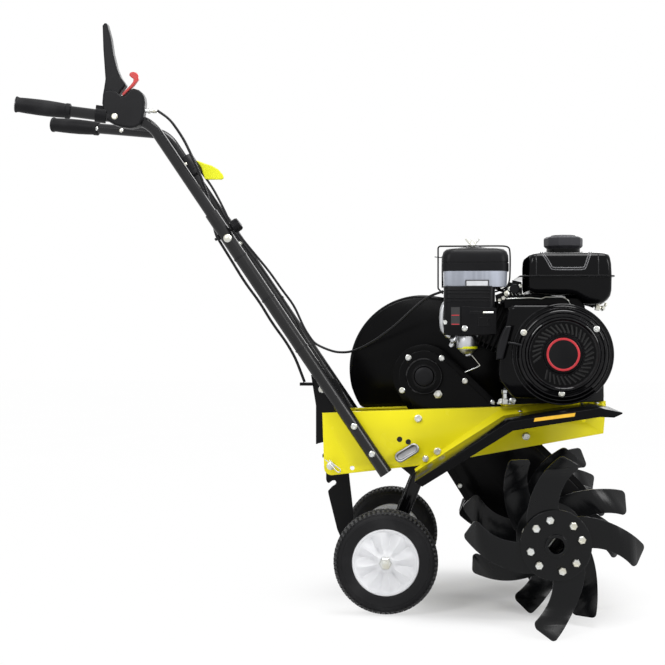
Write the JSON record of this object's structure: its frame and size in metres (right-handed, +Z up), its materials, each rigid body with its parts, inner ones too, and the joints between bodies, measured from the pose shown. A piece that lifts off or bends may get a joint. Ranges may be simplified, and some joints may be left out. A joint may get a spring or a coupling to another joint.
{
  "type": "garden tiller",
  "caption": "Walk-behind garden tiller: petrol engine on a folded frame, belt and chain drive to a wide rotor of curved tines, folding transport wheels and a forked handle.",
  "frame": {"origin": "on the ground under the middle of the machine's box", "axes": "+X forward towards the engine and tines, +Y to the machine's left, +Z up"},
  "size_m": [1.209, 0.81, 1.156],
  "materials": {
    "black_paint": "satin",
    "black_plastic": "satin",
    "bright_aluminium": "machined",
    "cable_plastic": "satin",
    "dark_aluminium": "painted",
    "grip_rubber": "matte",
    "lime_paint": "gloss",
    "lime_plastic": "gloss",
    "red_plastic": "gloss",
    "smoke_plastic": "gloss",
    "tine_enamel": "gloss",
    "tyre_rubber": "matte",
    "wheel_plastic": "satin",
    "zinc_steel": "zinc plated"
  },
  "bodies": {
    "chassis": {"air_cleaner_band": "smoke_plastic", "air_cleaner_base": "black_plastic", "air_cleaner_cover": "black_plastic", "air_cleaner_guard": "black_paint", "bearing_cap": "black_paint", "belt_cover": "black_plastic", "carburettor": "bright_aluminium", "chain_case_left": "black_paint", "chain_case_right": "black_paint", "clutch_cables": "cable_plastic", "clutch_lever": "black_plastic", "crankcase": "dark_aluminium", "cylinder": "dark_aluminium", "drag_stake": "black_paint", "engine_deck": "black_paint", "fan_housing": "black_paint", "fender_left": "black_paint", "fender_right": "black_paint", "frame_plate_left": "lime_paint", "frame_plate_right": "lime_paint", "fuel_tank": "black_paint", "grip_left": "grip_rubber", "grip_right": "grip_rubber", "handle_bracket": "black_paint", "handle_knobs": "black_plastic", "lever_housing": "black_plastic", "lock_trigger": "red_plastic", "lower_tube_left": "black_paint", "lower_tube_right": "black_paint", "muffler": "black_paint", "rear_crossmember": "black_paint", "recoil_cover": "black_plastic", "rocker_cover": "black_paint", "stand_lock": "zinc_steel", "stand_pivot_pin": "zinc_steel", "starter_grip": "black_plastic", "tank_cap": "black_plastic", "throttle_cable": "cable_plastic", "throttle_housing": "black_plastic", "throttle_lever": "lime_plastic", "upper_tube_left": "black_paint", "upper_tube_right": "black_paint"},
    "stand": {"wheel_stand": "black_paint"},
    "wheel_right_body": {"tyre_right": "tyre_rubber", "wheel_right": "wheel_plastic"},
    "wheel_left_body": {"tyre_left": "tyre_rubber", "wheel_left": "wheel_plastic"},
    "rotor": {"tine_hub_inner_left": "tine_enamel", "tine_hub_inner_right": "tine_enamel", "tine_hub_middle_left": "tine_enamel", "tine_hub_middle_right": "tine_enamel", "tine_hub_outer_left": "tine_enamel", "tine_hub_outer_right": "tine_enamel", "tine_shaft": "tine_enamel", "tines_inner_left": "tine_enamel", "tines_inner_right": "tine_enamel", "tines_middle_left": "tine_enamel", "tines_middle_right": "tine_enamel", "tines_outer_left": "tine_enamel", "tines_outer_right": "tine_enamel"}
  },
  "joints": [
    {"name": "wheel_stand_fold", "type": "hinge", "parent": "chassis", "child": "stand", "pos_m": [0.213, 0, 0.286], "axis": [0, 1, 0], "range_deg": [0, 50]},
    {"name": "wheel_right_spin", "type": "hinge", "parent": "stand", "child": "wheel_right_body", "pos_m": [0.138, -0.193, 0.1], "axis": [0, 1, 0], "continuous": true},
    {"name": "wheel_left_spin", "type": "hinge", "parent": "stand", "child": "wheel_left_body", "pos_m": [0.138, 0.193, 0.1], "axis": [0, 1, 0], "continuous": true},
    {"name": "tine_rotor_spin", "type": "hinge", "parent": "chassis", "child": "rotor", "pos_m": [0.4445, 0, 0.1604], "axis": [0, 1, 0], "continuous": true}
  ]
}
